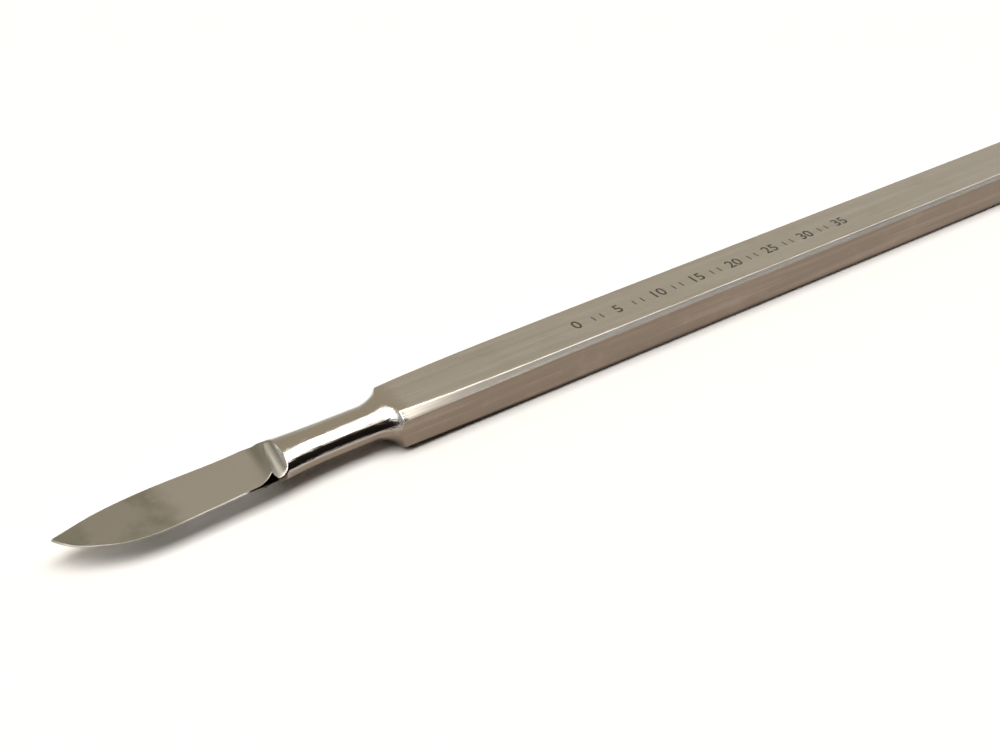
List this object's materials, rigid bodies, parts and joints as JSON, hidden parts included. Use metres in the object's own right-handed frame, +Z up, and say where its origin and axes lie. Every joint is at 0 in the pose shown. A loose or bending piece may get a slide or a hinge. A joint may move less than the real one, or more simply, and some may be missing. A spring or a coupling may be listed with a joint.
{
  "type": "ophthalmic scalpel",
  "caption": "Slim all-steel eye scalpel: a flat bevelled bar handle, a rounded waisted neck and a short, thin, bellied blade.",
  "frame": {"origin": "on the plane of the handle's flat underside, at the middle of the overall length and of the handle's width", "axes": "+X from the blade's tip to the butt of the handle, +Y towards the side of the blade's spine, +Z up, square to the handle's flat faces"},
  "size_m": [0.13, 0.006, 0.004],
  "materials": {
    "steel": "satin, brushed lengthwise, with polished bevels and neck"
  },
  "bodies": {
    "root": {"scalpel": "steel"}
  },
  "joints": []
}
